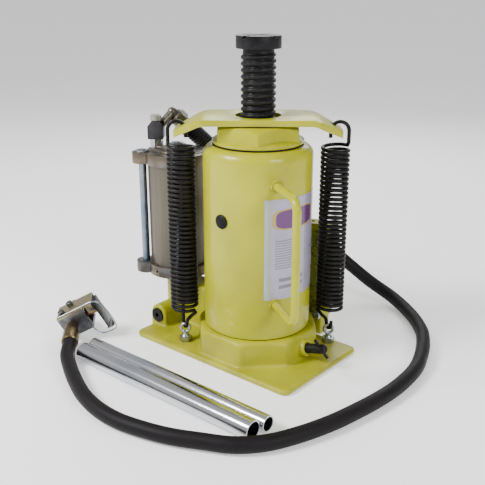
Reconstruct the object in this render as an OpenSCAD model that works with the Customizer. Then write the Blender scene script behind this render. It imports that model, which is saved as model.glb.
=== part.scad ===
// Air and hydraulic bottle jack with an extension screw, return springs,
// an air motor, a hand pump, an air hose with its valve, and a two-piece handle.
// Origin on the floor under the ram's axis, +Z up, +X along the long side of the base.

/* [Base] */
// Length of the base plate
base_length = 212; // [200:1:260]
// Width of the base plate
base_width = 126; // [122:1:160]
// Thickness of the base plate
base_thickness = 6; // [5:0.5:9]
// Width across the flats of the eight-sided boss
boss_width = 122; // [118:1:126]
// Height of the boss top above the floor
boss_height = 33; // [30:1:45]

/* [Body] */
// Outside diameter of the oil tank
body_diameter = 111; // [104:1:116]
// Height of the oil tank above the boss
body_height = 191; // [170:1:230]
// Wall of the oil tank
tank_wall = 4; // [3:0.5:5]
// Bore of the pressure cylinder
cylinder_bore = 60; // [58:1:64]
// Wall of the pressure cylinder
cylinder_wall = 7; // [6:0.5:8]
// Height of the head nut above the tank
head_height = 20.5; // [18:0.5:26]

/* [Ram and screw] */
// Diameter of the ram
ram_diameter = 52; // [48:1:54]
// Outside diameter of the extension screw's thread
screw_diameter = 34.5; // [30:0.5:36]
// Pitch of the extension screw
screw_pitch = 6.2; // [5:0.2:7]
// How far the extension screw stands out at rest, yoke to saddle
screw_out = 64; // [50:1:70]
// Diameter of the saddle
saddle_diameter = 44; // [38:1:48]
// Height of the saddle
saddle_height = 12; // [10:0.5:16]

/* [Yoke and springs] */
// Length of the yoke plate, tip to tip
yoke_length = 166; // [160:1:176]
// Depth of the yoke plate across its middle
yoke_depth = 66; // [60:1:74]
// Thickness of the yoke plate
yoke_thickness = 6; // [5:0.5:8]
// Outside diameter of the return springs
spring_diameter = 30; // [26:0.5:31]
// Wire of the return springs
spring_wire = 3.5; // [3:0.1:4]
// Distance of each spring from the ram's axis
spring_reach = 77.3; // [75:0.1:78]

/* [Air motor] */
// Distance of the air motor's axis from the ram's axis
motor_reach = 115; // [113:1:122]
// Outside diameter of the motor barrel
barrel_diameter = 64; // [56:1:66]
// Length of the motor barrel
barrel_length = 114; // [100:1:126]
// Thickness of the motor's two end plates
end_plate = 12; // [10:0.5:14]
// Diameter of the air pump's plunger
air_plunger_diameter = 8; // [7:0.5:9]

/* [Hand pump] */
// Diameter of the hand pump's plunger
hand_plunger_diameter = 10; // [9:0.5:12]
// Distance between the fulcrum pin and the plunger pin
pump_arm = 22; // [20:0.5:24]
// Bore of the handle socket
socket_bore = 19.6; // [19.4:0.1:20.4]

/* [Hose and handles] */
// Outside diameter of the air hose
hose_diameter = 15; // [12:0.5:15]
// Outside diameter of the larger handle tube
outer_tube_diameter = 19; // [18:0.5:19]
// Outside diameter of the smaller handle tube
inner_tube_diameter = 16; // [14:0.5:16]
// Length of the larger handle tube
outer_tube_length = 230; // [200:1:232]
// Length of the smaller handle tube
inner_tube_length = 238; // [200:1:240]

/* [Hidden] */
$fn = 72;

paint = [0.74, 0.74, 0.36];
black = [0.10, 0.10, 0.11];
zinc = [0.70, 0.72, 0.74];
steel = [0.62, 0.62, 0.62];
brass = [0.66, 0.54, 0.30];
rubber = [0.12, 0.11, 0.12];
bronze = [0.55, 0.48, 0.42];

// Fits: running is for shafts in bores, seat is for parts screwed or pushed together
running_fit = 0.05;
seat_fit = 0.1;
loose_fit = 0.4;

// Base
base_centre = [-14, -5];
base_corner = 8;
boss_chamfer = 5;
cylinder_floor = 12;
gasket_thickness = 2;
body_radius = body_diameter / 2;
cylinder_radius = cylinder_bore / 2 + cylinder_wall;
tank_top = boss_height + body_height;
head_top = tank_top + head_height;
column_height = 50;
air_column_height = 57;
column_radius = 14;
lug_height = 18;
lug_radius = 12;
lug_reach = 40;
lug_shift = 3;
passage_radius = 5;

// Head nut
head_flange_radius = 46;
head_hex_width = 79;
head_hex_angle = -51;
head_gap = 1.4;
head_skirt_radius = 41.5;
head_skirt_length = 20;
shoulder_radius = body_radius - head_flange_radius + 0.5;

// Ram, yoke and screw
ram_radius = ram_diameter / 2;
ram_stand = 1.5;
ram_top = head_top + ram_stand;
ram_bottom = 34;
yoke_top = ram_top + yoke_thickness;
yoke_angle = 39;
yoke_hole_radius = screw_diameter / 2 + 5.5;
yoke_flat = 51;
yoke_bend_radius = 20;
yoke_bend_angle = 27.5;
yoke_tip_width = 30;
yoke_corner = 7;
hook_hole_radius = 4.4;
hook_hole_reach = 73.5;
hook_inner_reach = 72;
screw_radius = screw_diameter / 2;
screw_length = 124;
screw_bore_radius = screw_radius + 0.35;
screw_neck = 3;
saddle_bottom = yoke_top + screw_out;
screw_bottom = saddle_bottom - screw_length;
stop_ring_radius = 12;
stop_ring_thickness = 3;
stop_land = 4;
screw_bore_floor = screw_bottom - screw_out - 4;
piston_thickness = 14;
piston_seal_thickness = 5;

// Springs
coil_bottom = 45;
coil_top = ram_top - 24.5;
hook_radius = 9;
hook_centre_z = ram_top - 9.5;
eye_centre_z = 21;
eye_radius = 4.7;
eye_wire = 1.6;
eye_nut_height = 5.5;
eye_shank_radius = 3;
lower_hook_radius = 5;

// Carry handle and label
handle_angle = -32;
handle_rod_radius = 4;
handle_reach = 108;
handle_low = 72;
handle_high = 193;
handle_bend = 12;
label_start = -44;
label_sweep = 79;
label_bottom = 77;
label_height = 103;
label_thickness = 0.3;
filler_z = 155;
filler_head_radius = 7.2;
filler_stem_radius = 4.4;

// Release screw
release_start = [61, 0, 17.5];
release_tilt = 14;
release_radius = 5.1;
release_inside = 26;
release_boss = 8;
release_out = 29;
release_pin_length = 28;
release_pin_radius = 1.6;
release_pin_at = 24;
release_pin_lean = 31;

// Air motor
motor_x = -motor_reach;
sleeve_height = 5;
sleeve_radius = 10;
sleeve_screw_radius = 7;
motor_bottom = air_column_height + sleeve_height;
barrel_bottom = motor_bottom + end_plate;
barrel_top = barrel_bottom + barrel_length;
motor_top = barrel_top + end_plate;
barrel_radius = barrel_diameter / 2;
barrel_wall = 1.2;
tie_reach = barrel_radius + 5.8;
tie_radius = 4.2;
lobe_radius = 11;
tie_nut_height = 1.8;
plate_spigot = 4;
cap_dome = 4;
motor_piston_z = barrel_top - 22;
motor_piston_thickness = 14;
air_plunger_radius = air_plunger_diameter / 2;
air_plunger_bottom = 22;
motor_spring_radius = 17;
motor_stroke = 30;
inlet_offset = [-28, -3];
neck_height = 11;
neck_radius = 6.5;
block_width = 17.5;
block_height = 19;
block_bottom = motor_top + neck_height;
block_top = block_bottom + block_height;
inlet_x = motor_x + inlet_offset[0];
inlet_y = inlet_offset[1];

// Hose line where it leaves the elbow: heading and fall of the fitting
hose_heading = 60;
hose_fall = 44;
elbow_point = [inlet_x + 6, inlet_y + 20, block_top + 8];
elbow_radius = 5.6;
plug_radius = 6.2;
plug_height = 7;
hose_nut_start = 4;
hose_nut_length = 12;
hose_nut_radius = 8.5;
jack_ferrule_length = 36;
rib_pitch = 3.3;
rib_count = 9;
jack_ferrule_radius = 10;
jack_ferrule_start = 26;
hose_seat_depth = 26;

// Hand pump
pump_x = 8;
pump_y = 75;
fulcrum_x = pump_x + pump_arm;
fulcrum_z = 112;
fulcrum_radius = 4;
plunger_pin_radius = 3;
hand_plunger_radius = hand_plunger_diameter / 2;
packing_nut_height = 10;
packing_nut_width = 20;
tongue_thickness = 6;
tongue_radius = 5.5;
tongue_bottom = 90;
cheek_gap = 7;
cheek_thickness = 5.5;
link_thickness = 4;
link_low_z = 24;
link_gap = 18.6;
socket_tilt = 6;
socket_wall = 3;
socket_start = 30;
socket_length = 44;

// Air valve, in its own frame: +X on along the hose, -Y towards the lever, +Z its top
valve_origin = [-160, -123, 18.5];
valve_heading = 136;
valve_rise = 8;
valve_roll = -27;
valve_length = 26;
valve_left = 11;
valve_right = -20;
valve_low = -12.5;
valve_high = 13.5;
valve_bore_radius = 3.5;
cover_thickness = 1.6;
cover_right = -31;
lever_pin_y = -29;
lever_pin_z = 9;
lever_pin_radius = 1.5;
lever_thickness = 2;
lever_reach = 34;
valve_plunger_radius = 3.4;
valve_spring_length = 5.5;
valve_ferrule_length = 32;
valve_ferrule_radius = 9;
inlet_thread_radius = 5.6;

// Handle tubes
tube_wall = 1.4;
outer_tube_start = [-118, -142];
inner_tube_start = [-124, -123.5];

// Points that the hose follows, jack end first
hose_radius = hose_diameter / 2;
hose_rest = hose_radius + 0.1;
hose_points = [
    [-101, 79, 168], [-82, 104, 141], [-60, 130, 112], [-36, 154, 82], [-7, 174, 52],
    [26, 187, 26], [60, 188, 12], [97, 166, hose_rest], [126, 136, hose_rest],
    [142, 110, hose_rest], [154, 83, hose_rest], [163, 56, hose_rest],
    [167, 30, hose_rest], [168, 2, hose_rest], [166, -25, hose_rest],
    [162, -52, hose_rest], [155, -86, hose_rest], [144, -119, hose_rest],
    [130, -147, hose_rest], [111, -167, hose_rest], [87, -180, hose_rest],
    [62, -192, hose_rest], [36, -200, hose_rest], [8, -205, hose_rest],
    [-20, -204, hose_rest], [-49, -197, hose_rest], [-79, -184, hose_rest],
    [-104, -171, 8.5], [-122, -160, 11]
];

function unit(v) = v / norm(v);

// One rounded corner of an outline, as points on its arc
function corner_arc(a, b, c, r, steps) =
    let (u = unit(a - b), v = unit(c - b))
    let (half = acos(u * v) / 2)
    let (centre = b + unit(u + v) * r / sin(half))
    let (p = b + u * r / tan(half) - centre, q = b + v * r / tan(half) - centre)
    let (from = atan2(p[1], p[0]))
    let (turn = (atan2(q[1], q[0]) - from + 540) % 360 - 180)
    [for (i = [0:steps]) centre + r * [cos(from + turn * i / steps), sin(from + turn * i / steps)]];

// An outline with every corner rounded
function rounded(points, r, steps = 6) =
    let (n = len(points))
    [for (i = [0:n - 1]) each corner_arc(points[(i + n - 1) % n], points[i], points[(i + 1) % n], r, steps)];

// A point on the smooth curve through four route points
function curve_point(a, b, c, d, t) =
    0.5 * (2 * b + (c - a) * t + (2 * a - 5 * b + 4 * c - d) * t * t + (3 * b - a - 3 * c + d) * t * t * t);

// The route with one point added between each pair
function smooth_route(p) =
    let (last = len(p) - 1)
    [for (i = [0:last])
        each i == last ? [p[i]] :
            [p[i], curve_point(p[max(i - 1, 0)], p[i], p[i + 1], p[min(i + 2, last)], 0.5)]];

// Direction along a route at one of its points
function route_direction(p, i) = unit(p[min(i + 1, len(p) - 1)] - p[max(i - 1, 0)]);

// A ring of points round a route
function route_ring(p, i, r, sides) =
    let (along = route_direction(p, i))
    let (side = unit(cross(along, [0, 0, 1])))
    let (top = cross(side, along))
    [for (k = [0:sides - 1]) p[i] + r * (cos(k * 360 / sides) * side + sin(k * 360 / sides) * top)];

module swept_tube(route, r, sides) {
    rings = len(route);
    points = [for (i = [0:rings - 1]) each route_ring(route, i, r, sides)];
    walls = [for (i = [0:rings - 2], k = [0:sides - 1])
        let (a = i * sides + k, b = i * sides + (k + 1) % sides)
        each [[a, b, b + sides], [a, b + sides, a + sides]]];
    start_face = [[for (k = [sides - 1:-1:0]) k]];
    end_face = [[for (k = [0:sides - 1]) (rings - 1) * sides + k]];
    polyhedron(points, concat(start_face, walls, end_face), convexity = 10);
}

// Flat bar or plate with rounded upright corners
module rounded_plate(length, width, height, r) {
    linear_extrude(height)
        polygon(rounded([[-length, -width] / 2, [length, -width] / 2,
                         [length, width] / 2, [-length, width] / 2], r));
}

module ring(inner, outer, height) {
    difference() {
        cylinder(h = height, r = outer);
        translate([0, 0, -1]) cylinder(h = height + 2, r = inner);
    }
}

module hex(width, height) {
    cylinder(h = height, r = width / 2 / cos(30), $fn = 6);
}

// Round bar bent to part of a circle in the XY plane
module bent_bar(radius, bar_radius, angle) {
    rotate_extrude(angle = angle) translate([radius, 0]) circle(bar_radius, $fn = 32);
}

module at_motor(z = 0) {
    translate([motor_x, 0, z]) children();
}

module at_lobes() {
    for (a = [45:90:315]) rotate(a) translate([tie_reach, 0, 0]) children();
}

module at_spring(side) {
    rotate(yoke_angle) translate([side * spring_reach, 0, 0]) children();
}

module at_release() {
    translate(release_start) rotate([0, 90 - release_tilt, 0]) children();
}

module at_fulcrum() {
    translate([fulcrum_x, pump_y, fulcrum_z]) children();
}

module at_hose_end() {
    translate(elbow_point) rotate([0, 0, hose_heading]) rotate([0, 90 + hose_fall, 0]) children();
}

module at_valve() {
    translate(valve_origin) rotate([0, 0, valve_heading]) rotate([0, -valve_rise, 0])
        rotate([valve_roll, 0, 0]) children();
}

module boss_shape() {
    intersection() {
        rotate(22.5) cylinder(h = boss_height, r = boss_width / 2 / cos(22.5), $fn = 8);
        rotate_extrude() polygon([[0, 0], [boss_width, 0], [boss_width / 2 + boss_chamfer, boss_height - boss_chamfer],
            [boss_width / 2, boss_height], [0, boss_height]]);
    }
}

module base_casting() {
    color(paint) difference() {
        union() {
            translate(base_centre) rounded_plate(base_length, base_width, base_thickness, base_corner);
            boss_shape();
            // air pump column, its web and the cross passage
            at_motor() cylinder(h = air_column_height, r = column_radius + 1);
            translate([motor_x, -column_radius, 0])
                cube([motor_reach - boss_width / 3, 2 * column_radius, air_column_height - 2]);
            translate([motor_x + lug_shift, 0, lug_height]) rotate([90, 0, 0]) cylinder(h = lug_reach, r = lug_radius);
            translate([motor_x + lug_shift - lug_radius, -lug_reach, 0]) cube([2 * lug_radius, lug_reach, lug_height]);
            // hand pump column, its web and the lug that holds the link
            translate([pump_x, pump_y, 0]) cylinder(h = column_height, r = column_radius);
            translate([pump_x - column_radius, boss_width / 3, 0])
                cube([2 * column_radius, pump_y - boss_width / 3, column_height - 2]);
            translate([pump_x, pump_y - link_gap / 2 + loose_fit, 0])
                cube([pump_arm + 8, link_gap - 2 * loose_fit, link_low_z + 8]);
            // boss round the release screw
            at_release() translate([0, 0, -8]) cylinder(h = 8 + release_boss, r = 9);
        }
        // keeps the base flat underneath
        translate([0, 0, -50]) cube([600, 600, 100], center = true);
        // seat of the pressure cylinder, and room for the tank above the boss
        translate([0, 0, boss_height]) cylinder(h = 2 * column_height, r = body_radius + seat_fit);
        translate([0, 0, cylinder_floor - gasket_thickness])
            cylinder(h = boss_height, r = cylinder_radius + seat_fit);
        // pump bores, each with its check ball's pocket
        at_motor(air_plunger_bottom - 8) cylinder(h = air_column_height, r = air_plunger_radius + seat_fit);
        at_motor(air_column_height - 12) cylinder(h = 20, r = sleeve_screw_radius + seat_fit);
        translate([pump_x, pump_y, 14]) cylinder(h = column_height, r = hand_plunger_radius + seat_fit);
        // cross passage, link pin and release screw
        translate([motor_x + lug_shift, 1, lug_height]) rotate([90, 0, 0]) translate([0, 0, lug_reach - 15])
            cylinder(h = 30, r = passage_radius + seat_fit);
        translate([fulcrum_x, pump_y + 30, link_low_z]) rotate([90, 0, 0])
            cylinder(h = 60, r = fulcrum_radius + running_fit);
        at_release() translate([0, 0, -release_inside]) cylinder(h = 80, r = release_radius + running_fit);
        for (side = [-1, 1]) at_spring(side) translate([0, 0, -1])
            cylinder(h = base_thickness + 2, r = eye_shank_radius + seat_fit);
    }
}

// Black screw that closes the cross passage
module passage_plug() {
    color(black) translate([motor_x + lug_shift, -lug_reach, lug_height]) rotate([90, 0, 0]) difference() {
        union() {
            translate([0, 0, -12]) cylinder(h = 12, r = passage_radius);
            cylinder(h = 1.6, r = 8);
        }
        translate([0, 0, -1]) hex(5, 5);
    }
}

module cylinder_gasket() {
    color(bronze) translate([0, 0, cylinder_floor - gasket_thickness])
        ring(cylinder_bore / 2, cylinder_radius, gasket_thickness);
}

module pressure_cylinder() {
    color(steel) translate([0, 0, cylinder_floor])
        ring(cylinder_bore / 2, cylinder_radius, tank_top - 4 - cylinder_floor);
}

module tank_seal() {
    color(black) translate([0, 0, boss_height])
        ring(body_radius - tank_wall + 0.5, body_radius - 0.6, 1);
}

module oil_tank() {
    s = shoulder_radius;
    inner = body_radius - tank_wall;
    color(paint) difference() {
        rotate_extrude() polygon(concat(
            [[inner, boss_height + 1], [body_radius, boss_height + 1]],
            [for (a = [0:9:90]) [body_radius - s + s * cos(a), tank_top - s + s * sin(a)]],
            [[head_skirt_radius + seat_fit, tank_top], [head_skirt_radius + seat_fit, tank_top - tank_wall],
             [inner, tank_top - s]]
        ));
        translate([0, -body_radius + tank_wall + 1, filler_z]) rotate([90, 0, 0])
            cylinder(h = tank_wall + 4, r = filler_stem_radius + seat_fit);
    }
}

// The nut that closes the tank and guides the ram
module head_nut() {
    bore = ram_radius + running_fit;
    low = tank_top - head_skirt_length;
    corner = head_hex_width / 2 / cos(30);
    color(paint) difference() {
        union() {
            translate([0, 0, low]) cylinder(h = head_skirt_length + 1, r = head_skirt_radius);
            translate([0, 0, tank_top + head_gap]) rotate_extrude() polygon([[0, 0], [head_flange_radius - 0.8, 0],
                [head_flange_radius, 0.8], [head_flange_radius, 3.2], [head_hex_width / 2 + 1, 6], [0, 6]]);
            intersection() {
                translate([0, 0, tank_top + 3]) rotate(head_hex_angle) hex(head_hex_width, head_height - 3);
                translate([0, 0, tank_top]) rotate_extrude() polygon([[0, 0], [corner, 0], [corner, head_height - 4],
                    [head_hex_width / 2 - 1.5, head_height], [0, head_height]]);
            }
        }
        translate([0, 0, low - 1]) cylinder(h = 100, r = bore);
        translate([0, 0, low - 1]) cylinder(h = head_skirt_length - 3, r = cylinder_radius + seat_fit);
        translate([0, 0, head_top - 13]) cylinder(h = 3, r = bore + 3);
        translate([0, 0, head_top - 4]) cylinder(h = 10, r = bore + 3);
    }
}

module head_seal() {
    color(black) translate([0, 0, tank_top]) ring(head_skirt_radius + seat_fit, head_flange_radius - 0.3, head_gap);
}

module head_o_ring() {
    color(black) translate([0, 0, head_top - 12.95]) ring(ram_radius + running_fit, ram_radius + 3, 2.9);
}

module ram_wiper() {
    color(black) translate([0, 0, head_top - 3.9]) ring(ram_radius + running_fit, ram_radius + 3, 3.9);
}

module filler_plug() {
    reach = sqrt(body_radius * body_radius - filler_stem_radius * filler_stem_radius);
    color(black) translate([0, -reach + tank_wall, filler_z]) rotate([90, 0, 0]) {
        cylinder(h = tank_wall + 1, r = filler_stem_radius);
        translate([0, 0, body_radius - reach + tank_wall]) intersection() {
            cylinder(h = 3, r = filler_head_radius);
            translate([0, 0, -10]) sphere(r = 13);
        }
    }
}

module carry_handle() {
    top = handle_high - handle_low;
    leg = handle_reach - handle_bend - body_radius;
    color(paint) difference() {
        rotate(handle_angle) translate([0, 0, handle_low]) {
            for (z = [0, top]) translate([body_radius - 2, 0, z]) rotate([0, 90, 0])
                cylinder(h = leg + 2, r = handle_rod_radius);
            translate([handle_reach, 0, handle_bend]) cylinder(h = top - 2 * handle_bend, r = handle_rod_radius);
            translate([handle_reach - handle_bend, 0, handle_bend]) rotate([-90, 0, 0]) rotate(0)
                bent_bar(handle_bend, handle_rod_radius, 90);
            translate([handle_reach - handle_bend, 0, top - handle_bend]) rotate([90, 0, 0])
                bent_bar(handle_bend, handle_rod_radius, 90);
        }
        cylinder(h = tank_top, r = body_radius);
    }
}

module label() {
    color([0.74, 0.72, 0.82]) translate([0, 0, label_bottom]) rotate(label_start)
        rotate_extrude(angle = label_sweep) translate([body_radius, 0]) square([label_thickness, label_height]);
}

module eye_bolt(side) {
    color(zinc) at_spring(side) {
        translate([0, 0, 0.5]) cylinder(h = eye_centre_z - eye_radius - 0.5, r = eye_shank_radius);
        translate([0, 0, base_thickness + eye_nut_height])
            cylinder(h = 3.5, r1 = eye_shank_radius + 1.5, r2 = eye_shank_radius - 1);
        translate([0, 0, eye_centre_z]) rotate([90, 0, 0]) bent_bar(eye_radius, eye_wire, 360);
    }
}

module eye_bolt_left() eye_bolt(-1);

module eye_bolt_right() eye_bolt(1);

module eye_bolt_nuts() {
    color(zinc) for (side = [-1, 1]) at_spring(side) translate([0, 0, base_thickness]) difference() {
        hex(12, eye_nut_height);
        translate([0, 0, -1]) cylinder(h = 20, r = eye_shank_radius + seat_fit);
    }
}

// Closed coil with an open hook over the yoke's end and a small hook in the eye bolt
module return_spring(side) {
    wire = spring_wire / 2;
    mean = spring_diameter / 2 - wire;
    hook_x = hook_inner_reach + hook_radius - spring_reach;
    color(black) at_spring(side) scale([side, 1, 1]) {
        translate([0, 0, coil_bottom]) ring(spring_diameter / 2 - spring_wire, spring_diameter / 2,
            coil_top - coil_bottom);
        translate([hook_x, 0, hook_centre_z]) rotate([90, 0, 0]) bent_bar(hook_radius, wire, 180);
        translate([hook_x - hook_radius, 0, hook_centre_z - 10]) cylinder(h = 10, r = wire);
        translate([hook_x + hook_radius, 0, coil_top - 2]) cylinder(h = hook_centre_z - coil_top + 2, r = wire);
        translate([0, 0, eye_centre_z + eye_radius + lower_hook_radius - eye_wire - wire]) {
            rotate([90, 0, 90]) rotate(135) bent_bar(lower_hook_radius, wire, 270);
            rotate([0, 0, 90]) translate([lower_hook_radius * cos(45), 0, lower_hook_radius * sin(45)])
                cylinder(h = coil_bottom - eye_centre_z - lower_hook_radius, r = wire);
        }
        translate([-wire, 0, coil_bottom]) cube([spring_wire, mean, 1.5]);
    }
}

module return_spring_left() return_spring(-1);

module return_spring_right() return_spring(1);

// Hollow ram, threaded inside for the extension screw
module ram() {
    color(steel) difference() {
        translate([0, 0, ram_bottom]) cylinder(h = ram_top - ram_bottom, r = ram_radius);
        translate([0, 0, screw_bore_floor]) cylinder(h = ram_top, r = screw_bore_radius);
    }
}

module ram_piston() {
    low = ram_bottom - piston_thickness;
    color(steel) translate([0, 0, low]) difference() {
        cylinder(h = piston_thickness, r = cylinder_bore / 2 - running_fit);
        translate([0, 0, 4.5]) ring(cylinder_bore / 2 - 4, cylinder_bore, piston_seal_thickness);
    }
}

module piston_seal() {
    low = ram_bottom - piston_thickness + 4.5;
    color(black) translate([0, 0, low])
        ring(cylinder_bore / 2 - 4, cylinder_bore / 2 - running_fit, piston_seal_thickness);
}

// Half of the yoke's bent section, as an outline in X and Z
function yoke_edge(offset) =
    let (r = yoke_bend_radius + offset)
    let (centre_z = ram_top + yoke_thickness / 2 - yoke_bend_radius)
    let (end = [yoke_flat + r * sin(yoke_bend_angle), centre_z + r * cos(yoke_bend_angle)])
    concat([for (a = [0:yoke_bend_angle / 5:yoke_bend_angle - 0.1]) [yoke_flat + r * sin(a), centre_z + r * cos(a)]],
        [end, end + 30 * [cos(yoke_bend_angle), -sin(yoke_bend_angle)]]);

function mirrored(points) = [for (i = [len(points) - 1:-1:0]) [-points[i][0], points[i][1]]];

module yoke_plate() {
    upper = yoke_edge(yoke_thickness / 2);
    lower = yoke_edge(-yoke_thickness / 2);
    front = -yoke_depth / 2;
    tip = yoke_length / 2;
    outline = [[-tip, -yoke_tip_width / 2], [-55, front], [60, front], [tip, -yoke_tip_width / 2],
        [tip, yoke_tip_width / 2], [41, -front], [-41, -front], [-tip, yoke_tip_width / 2]];
    color(paint) rotate(yoke_angle) difference() {
        intersection() {
            translate([0, 0, ram_top - 40]) linear_extrude(80) polygon(rounded(outline, yoke_corner));
            rotate([90, 0, 0]) linear_extrude(2 * yoke_depth, center = true)
                polygon(concat(mirrored(upper), upper, [for (i = [len(lower) - 1:-1:0]) lower[i]],
                    [for (p = lower) [-p[0], p[1]]]));
        }
        cylinder(h = 400, r = yoke_hole_radius);
        for (side = [-1, 1]) translate([side * hook_hole_reach, 0, ram_top - 30])
            cylinder(h = 60, r = hook_hole_radius);
    }
}

// Threads are shown as rings, one for each pitch
module extension_screw() {
    root = screw_radius - screw_pitch * 0.3;
    turns = floor((screw_length - screw_neck - stop_land) / screw_pitch);
    thread_low = screw_bottom + stop_land;
    neck = saddle_bottom - screw_neck;
    slot = 4;
    color(black) difference() {
        rotate_extrude() polygon(concat(
            [[0, screw_bottom], [stop_ring_radius, screw_bottom], [stop_ring_radius, thread_low]],
            [for (i = [0:turns - 1]) let (z = thread_low + i * screw_pitch)
                each [[root, z + 0.1 * screw_pitch], [screw_radius - 0.4, z + 0.3 * screw_pitch],
                      [screw_radius, z + 0.45 * screw_pitch], [screw_radius - 0.4, z + 0.6 * screw_pitch],
                      [root, z + 0.85 * screw_pitch]]],
            [[root, neck], [root, saddle_bottom], [saddle_diameter / 2 - 1, saddle_bottom],
             [saddle_diameter / 2, saddle_bottom + 1],
             [saddle_diameter / 2, saddle_bottom + saddle_height - 1],
             [saddle_diameter / 2 - 1, saddle_bottom + saddle_height], [0, saddle_bottom + saddle_height]]
        ));
        for (a = [0, 90]) rotate(a) translate([-saddle_diameter / 2 - 1, -slot / 2, saddle_bottom + saddle_height - 2.5])
            cube([saddle_diameter + 2, slot, 5]);
    }
}

module screw_stop_ring() {
    color(steel) translate([0, 0, screw_bottom + 0.5])
        ring(stop_ring_radius + running_fit, screw_bore_radius - 0.35, stop_ring_thickness);
}

module release_screw() {
    color(black) at_release() difference() {
        union() {
            translate([0, 0, -release_inside + 6]) cylinder(h = release_inside + release_out - 8, r = release_radius);
            translate([0, 0, -release_inside + 2]) cylinder(h = 4, r1 = 1.5, r2 = release_radius);
            translate([0, 0, release_out - 2]) cylinder(h = 2, r1 = release_radius, r2 = release_radius - 1.5);
        }
        translate([0, 0, release_pin_at]) rotate([90, 0, 90 + release_pin_lean])
            cylinder(h = 40, r = release_pin_radius, center = true);
    }
}

module release_pin() {
    color(black) at_release() translate([0, 0, release_pin_at]) rotate([90, 0, 90 + release_pin_lean])
        cylinder(h = release_pin_length, r = release_pin_radius, center = true);
}

module pump_sleeve() {
    color(steel) at_motor() difference() {
        union() {
            translate([0, 0, air_column_height - 12]) cylinder(h = 12, r = sleeve_screw_radius);
            translate([0, 0, air_column_height]) hex(2 * sleeve_radius, sleeve_height);
        }
        translate([0, 0, air_column_height - 20]) cylinder(h = 60, r = air_plunger_radius + running_fit);
    }
}

// End plate outline: a disc with four lobes for the tie rods
module end_plate_shape(height) {
    linear_extrude(height) difference() {
        union() {
            circle(barrel_radius + 3.5);
            for (a = [45:90:315]) rotate(a) {
                translate([tie_reach, 0]) circle(lobe_radius);
                translate([0, -lobe_radius]) square([tie_reach, 2 * lobe_radius]);
            }
        }
        for (a = [45:90:315]) rotate(a) translate([tie_reach, 0]) circle(tie_radius + seat_fit, $fn = 32);
    }
}

module motor_lower_plate() {
    color(zinc) at_motor(motor_bottom) difference() {
        union() {
            end_plate_shape(end_plate);
            translate([0, 0, end_plate]) cylinder(h = plate_spigot, r = barrel_radius - barrel_wall - seat_fit);
        }
        translate([0, 0, -1]) cylinder(h = 60, r = air_plunger_radius + loose_fit);
        translate([0, 0, end_plate - 2]) ring(motor_spring_radius - 4, motor_spring_radius + 1, 20);
        // breather hole in the rim
        rotate(-90) translate([0, 0, end_plate / 2]) rotate([0, 90, 0]) cylinder(h = 80, r = 1.4);
    }
}

module motor_barrel() {
    color(zinc) at_motor(barrel_bottom) ring(barrel_radius - barrel_wall, barrel_radius, barrel_length);
}

module motor_cap() {
    color(zinc) at_motor(barrel_top) difference() {
        union() {
            end_plate_shape(end_plate);
            translate([0, 0, -plate_spigot]) cylinder(h = plate_spigot + 1, r = barrel_radius - barrel_wall - seat_fit);
            translate([0, 0, end_plate]) rotate_extrude() polygon(concat([[0, -1], [20, -1]],
                [for (a = [0:10:90]) [14 + 6 * cos(a), cap_dome * sin(a) - 0.5]], [[0, cap_dome - 0.5]]));
            translate([inlet_offset[0], inlet_offset[1], end_plate - 4]) cylinder(h = 4, r = neck_radius + 3);
        }
        translate([inlet_offset[0], inlet_offset[1], end_plate]) cylinder(h = 30, r = neck_radius + 1.6);
        translate([inlet_offset[0], inlet_offset[1], end_plate - 8]) cylinder(h = 30, r = 4 + seat_fit);
        translate([inlet_offset[0] + 6, inlet_offset[1], -plate_spigot - 1]) cylinder(h = end_plate + 1, r = 3);
    }
}

module motor_tie_rods() {
    color(zinc) at_motor() at_lobes() translate([0, 0, motor_bottom - tie_nut_height - 0.6])
        cylinder(h = motor_top - motor_bottom + 2 * tie_nut_height + 1.2, r = tie_radius);
}

module motor_tie_nuts() {
    color(zinc) at_motor() at_lobes() for (z = [motor_bottom - tie_nut_height, motor_top])
        translate([0, 0, z]) difference() {
            cylinder(h = tie_nut_height, r = tie_radius + 3);
            translate([0, 0, -1]) cylinder(h = 20, r = tie_radius + seat_fit);
        }
}

module motor_piston() {
    color(steel) at_motor(motor_piston_z) difference() {
        cylinder(h = motor_piston_thickness, r = barrel_radius - barrel_wall - loose_fit);
        translate([0, 0, 5]) ring(barrel_radius - barrel_wall - 4, barrel_radius, 4);
        translate([0, 0, -1]) cylinder(h = 60, r = air_plunger_radius - 1 + seat_fit);
    }
}

module motor_piston_seal() {
    color(black) at_motor(motor_piston_z + 5)
        ring(barrel_radius - barrel_wall - 4, barrel_radius - barrel_wall - running_fit, 4);
}

module air_plunger() {
    color(steel) at_motor() {
        translate([0, 0, air_plunger_bottom + motor_stroke])
            cylinder(h = motor_piston_z - air_plunger_bottom - motor_stroke, r = air_plunger_radius);
        translate([0, 0, motor_piston_z]) cylinder(h = motor_piston_thickness + 2, r = air_plunger_radius - 1);
    }
}

module motor_spring() {
    color(steel) at_motor(barrel_bottom - 2)
        ring(motor_spring_radius - 3, motor_spring_radius, motor_piston_z - barrel_bottom + 2 - loose_fit);
}

module inlet_neck() {
    color(zinc) translate([inlet_x, inlet_y, motor_top]) difference() {
        union() {
            hex(2 * neck_radius, neck_height);
            translate([0, 0, -7]) cylinder(h = 8, r = 4);
        }
        translate([0, 0, -10]) cylinder(h = 40, r = 2.5);
    }
}

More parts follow.
